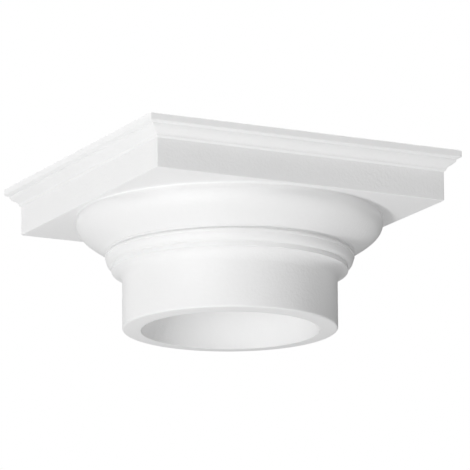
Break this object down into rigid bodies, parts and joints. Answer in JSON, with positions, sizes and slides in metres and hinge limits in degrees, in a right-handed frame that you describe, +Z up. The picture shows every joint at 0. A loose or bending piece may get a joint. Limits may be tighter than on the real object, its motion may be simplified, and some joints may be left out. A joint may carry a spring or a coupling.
{
  "type": "doric capital",
  "caption": "White moulded Doric capital: round hollow neck, small fillets and a swelling echinus under a square abacus with an ogee crown.",
  "frame": {"origin": "centre of the ring under the neck, on the axis of the bore", "axes": "+Z up along the bore axis towards the abacus; +X and +Y square to the sides of the abacus"},
  "size_m": [0.35, 0.35, 0.1691],
  "materials": {
    "foam": "smooth white primer on rigid foam, matt with a slight sheen"
  },
  "bodies": {
    "root": {"doric_capital": "foam"}
  },
  "joints": []
}
